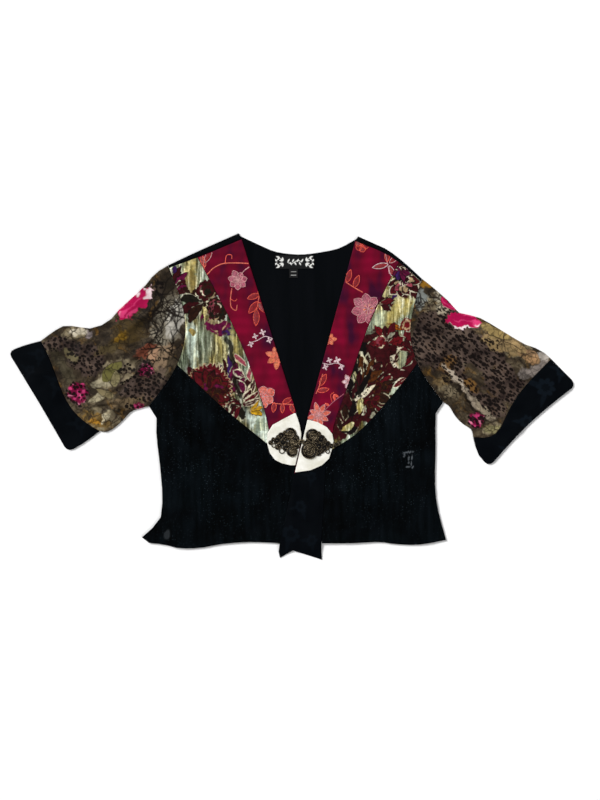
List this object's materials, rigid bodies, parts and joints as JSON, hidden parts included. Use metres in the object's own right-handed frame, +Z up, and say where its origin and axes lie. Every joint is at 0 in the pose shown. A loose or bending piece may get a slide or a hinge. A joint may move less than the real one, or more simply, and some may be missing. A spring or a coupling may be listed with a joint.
{
  "type": "kimono jacket laid flat",
  "caption": "Cropped open-front kimono jacket laid flat, with pieced fronts, wide elbow sleeves, contrast cuffs and a filigree hook clasp closing the neck bands.",
  "frame": {"origin": "centre of the laid-out jacket's box, on the table", "axes": "+X along the sleeve span, to the right as the front is seen; +Y from hem to neck; +Z up from the table"},
  "size_m": [0.8439, 0.4892, 0.0106],
  "materials": {
    "black_crepe": "matte crepe",
    "glitter_crepe": "crinkled crepe with fine glitter",
    "figured_satin": "figured satin",
    "burgundy_satin": "embroidered satin",
    "burnout_velvet": "velvet pile on crinkled metallic ground",
    "printed_chiffon": "printed, soft sheen",
    "ivory_satin": "satin",
    "aged_bronze": "dark patina, worn high points",
    "woven_tape": "woven"
  },
  "bodies": {
    "root": {"back": "black_crepe", "shoulder_left": "black_crepe", "shoulder_right": "black_crepe", "lapel_left": "burgundy_satin", "lapel_right": "burgundy_satin", "yoke_left": "burnout_velvet", "yoke_right": "burnout_velvet", "front_left": "glitter_crepe", "front_right": "glitter_crepe", "front_tail": "figured_satin", "sleeve_left": "printed_chiffon", "sleeve_right": "printed_chiffon", "cuff_left": "figured_satin", "cuff_right": "figured_satin", "patch_left": "ivory_satin", "patch_right": "ivory_satin", "clasp_left": "aged_bronze", "clasp_right": "aged_bronze", "neck_label": "woven_tape", "size_tab": "woven_tape"}
  },
  "joints": []
}
